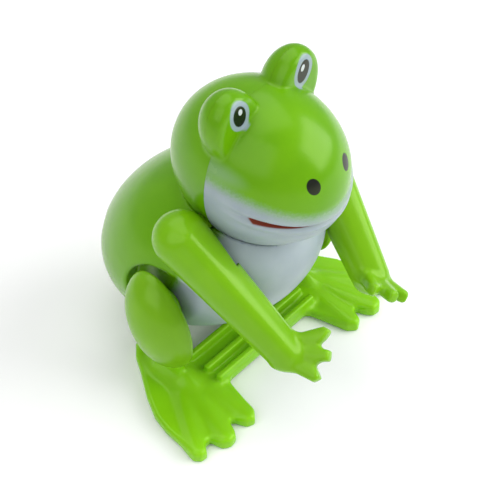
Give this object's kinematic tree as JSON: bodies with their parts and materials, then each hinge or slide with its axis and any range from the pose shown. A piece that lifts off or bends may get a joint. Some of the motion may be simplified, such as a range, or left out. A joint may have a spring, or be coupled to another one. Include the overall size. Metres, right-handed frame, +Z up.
{
  "type": "wind-up jumping frog",
  "caption": "Clockwork jumping frog toy: hollow plastic shell body and head, kicking webbed feet joined by a crossbar, turning arms, side winding knob and a spring motor inside.",
  "frame": {"origin": "centre of the bounding box, on the surface that the soles stand on", "axes": "+X is the frog's left, -Y is the way it faces and jumps, +Z is up"},
  "size_m": [0.0554, 0.0566, 0.0644],
  "materials": {
    "frog_green": "gloss injection-moulded plastic, yellow-green",
    "foot_green": "gloss injection-moulded plastic, bright green",
    "thigh_green": "gloss injection-moulded plastic, slightly darker green",
    "belly_white": "satin white sprayed over the moulded shell",
    "face_green": "gloss plastic with sprayed white chin, painted mouth, nostrils and eyes",
    "knob_green": "gloss plastic",
    "gear_white": "natural acetal",
    "gear_black": "black acetal",
    "steel": "bright steel wire and pressings",
    "spring_steel": "blued spring steel",
    "brass": "turned brass"
  },
  "bodies": {
    "torso": {"body_back_shell": "frog_green", "belly_shell": "belly_white", "head_back_shell": "frog_green", "face_shell": "face_green", "case_screws": "steel", "motor_plate_left": "gear_white", "motor_plate_right": "gear_white", "motor_pillars": "brass", "motor_screws": "steel", "mainspring": "spring_steel", "jump_spring": "spring_steel"},
    "legs": {"feet_and_crossbar": "foot_green", "thigh_left": "thigh_green", "thigh_right": "thigh_green", "hip_axle": "steel", "leg_lever": "gear_black"},
    "arm_left": {"arm_left": "frog_green"},
    "arm_right": {"arm_right": "frog_green"},
    "winder": {"winding_arbor": "steel", "winding_knob": "knob_green", "ratchet_wheel": "brass"},
    "great_wheel": {"great_wheel": "gear_white", "click": "gear_black", "click_pin": "steel"},
    "second_wheel": {"second_wheel": "gear_white", "second_arbor": "steel"},
    "cam": {"third_wheel": "gear_white", "cam_pinion": "gear_white", "jump_cam": "gear_black", "cam_arbor": "steel"},
    "star_wheel": {"star_wheel": "gear_white", "star_arbor": "steel"},
    "pallet": {"pallet": "gear_black", "pallet_arbor": "steel"}
  },
  "joints": [
    {"name": "hip_hinge", "type": "hinge", "parent": "torso", "child": "legs", "pos_m": [0, 0.00162, 0.021], "axis": [1, 0, 0], "range_deg": [0, 15]},
    {"name": "arm_left_hinge", "type": "hinge", "parent": "torso", "child": "arm_left", "pos_m": [0.0164, -0.00228, 0.0386], "axis": [1, 0, 0], "range_deg": [-30, 0]},
    {"name": "arm_right_hinge", "type": "hinge", "parent": "torso", "child": "arm_right", "pos_m": [-0.0164, -0.00228, 0.0386], "axis": [1, 0, 0], "range_deg": [-30, 0]},
    {"name": "winding_hinge", "type": "hinge", "parent": "torso", "child": "winder", "pos_m": [0, 0.01567, 0.02205], "axis": [1, 0, 0], "continuous": true},
    {"name": "great_wheel_spin", "type": "hinge", "parent": "torso", "child": "great_wheel", "pos_m": [0, 0.01567, 0.02205], "axis": [1, 0, 0], "continuous": true},
    {"name": "second_wheel_spin", "type": "hinge", "parent": "torso", "child": "second_wheel", "pos_m": [0, 0.01013, 0.0294], "axis": [1, 0, 0], "continuous": true},
    {"name": "cam_spin", "type": "hinge", "parent": "torso", "child": "cam", "pos_m": [0, 0.00216, 0.0301], "axis": [1, 0, 0], "continuous": true},
    {"name": "star_wheel_spin", "type": "hinge", "parent": "torso", "child": "star_wheel", "pos_m": [0, -0.00476, 0.0261], "axis": [1, 0, 0], "continuous": true},
    {"name": "pallet_rock", "type": "hinge", "parent": "torso", "child": "pallet", "pos_m": [0, -0.00627, 0.02196], "axis": [1, 0, 0], "range_deg": [-4, 4]}
  ],
  "couplings": [
    {"joint": "second_wheel_spin", "follows": "great_wheel_spin", "ratio": -3.6},
    {"joint": "cam_spin", "follows": "great_wheel_spin", "ratio": 10.8},
    {"joint": "star_wheel_spin", "follows": "great_wheel_spin", "ratio": -32.4}
  ]
}
